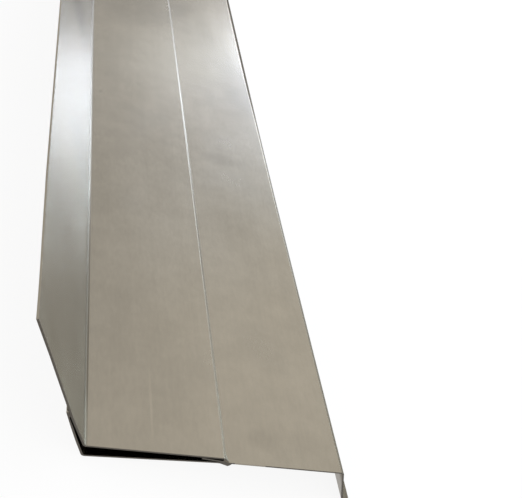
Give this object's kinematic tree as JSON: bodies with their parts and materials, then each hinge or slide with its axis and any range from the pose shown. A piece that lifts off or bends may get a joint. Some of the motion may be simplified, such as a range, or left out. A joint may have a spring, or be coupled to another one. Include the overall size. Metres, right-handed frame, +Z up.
{
  "type": "window head flashing",
  "caption": "Folded sheet-metal window head flashing: a rear piece with a tall upstand and hemmed edge nests in a front piece with a short upstand, sloped base, downturn and drip kick.",
  "frame": {"origin": "bottom centre of the bounding box, on the floor that the stock lies on", "axes": "+Y along the stock length, +X from the upstands towards the drip edge, +Z up"},
  "size_m": [0.1836, 1.2, 0.0722],
  "materials": {
    "front_sheet": "satin",
    "rear_sheet": "satin"
  },
  "bodies": {
    "root": {"front_flashing": "front_sheet", "rear_flashing": "rear_sheet"}
  },
  "joints": []
}
